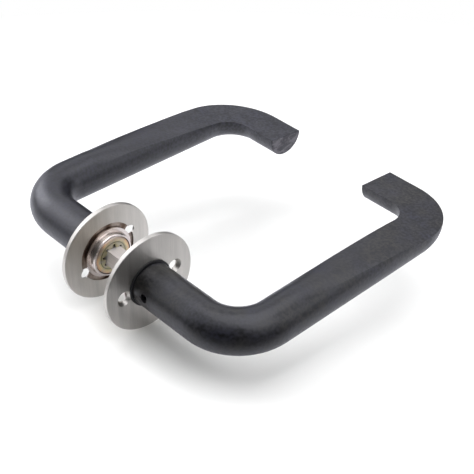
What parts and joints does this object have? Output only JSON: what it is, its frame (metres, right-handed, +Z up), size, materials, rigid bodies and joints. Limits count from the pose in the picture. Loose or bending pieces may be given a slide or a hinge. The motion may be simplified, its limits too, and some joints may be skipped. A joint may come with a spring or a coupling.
{
  "type": "lever door handle pair",
  "caption": "U-shaped lever handles with planed tops on round roses, joined through the door by a square spindle.",
  "frame": {"origin": "on the spindle axis, midway between the two roses' door faces", "axes": "+X along the spindle towards the front lever, +Y along the grips away from the spindle, +Z up, towards the planed flats"},
  "size_m": [0.178, 0.1797, 0.052],
  "materials": {
    "black_coat": "satin black powder coat on a solid metal bar",
    "brushed_stainless": "brushed stainless steel",
    "black_nylon": "moulded black nylon",
    "spring_steel": "tempered spring steel",
    "turned_steel": "turned bright steel",
    "yellow_zinc": "yellow passivated zinc on steel",
    "black_oxide": "blackened steel",
    "plated_steel": "zinc plated steel"
  },
  "bodies": {
    "rear_lever_set": {"rear_lever": "black_coat", "rear_wave_washer": "spring_steel", "rear_retaining_collar": "turned_steel", "rear_spindle_socket": "yellow_zinc", "rear_grub_screw": "black_oxide", "spindle": "plated_steel"},
    "front_lever_set": {"front_lever": "black_coat", "front_wave_washer": "spring_steel", "front_retaining_collar": "turned_steel", "front_spindle_socket": "yellow_zinc", "front_grub_screw": "black_oxide"},
    "rear_rose_set": {"rear_rose": "brushed_stainless", "rear_neck_bush": "black_nylon"},
    "front_rose_set": {"front_rose": "brushed_stainless", "front_neck_bush": "black_nylon"}
  },
  "joints": [
    {"name": "front_lever_slide", "type": "slide", "parent": "rear_lever_set", "child": "front_lever_set", "axis": [1, 0, 0], "range_m": [-0.005, 0.005]},
    {"name": "front_rose_turn", "type": "hinge", "parent": "front_lever_set", "child": "front_rose_set", "pos_m": [0.0165, 0, 0], "axis": [1, 0, 0], "continuous": true},
    {"name": "rear_rose_turn", "type": "hinge", "parent": "rear_lever_set", "child": "rear_rose_set", "pos_m": [-0.0165, 0, 0], "axis": [1, 0, 0], "continuous": true}
  ]
}
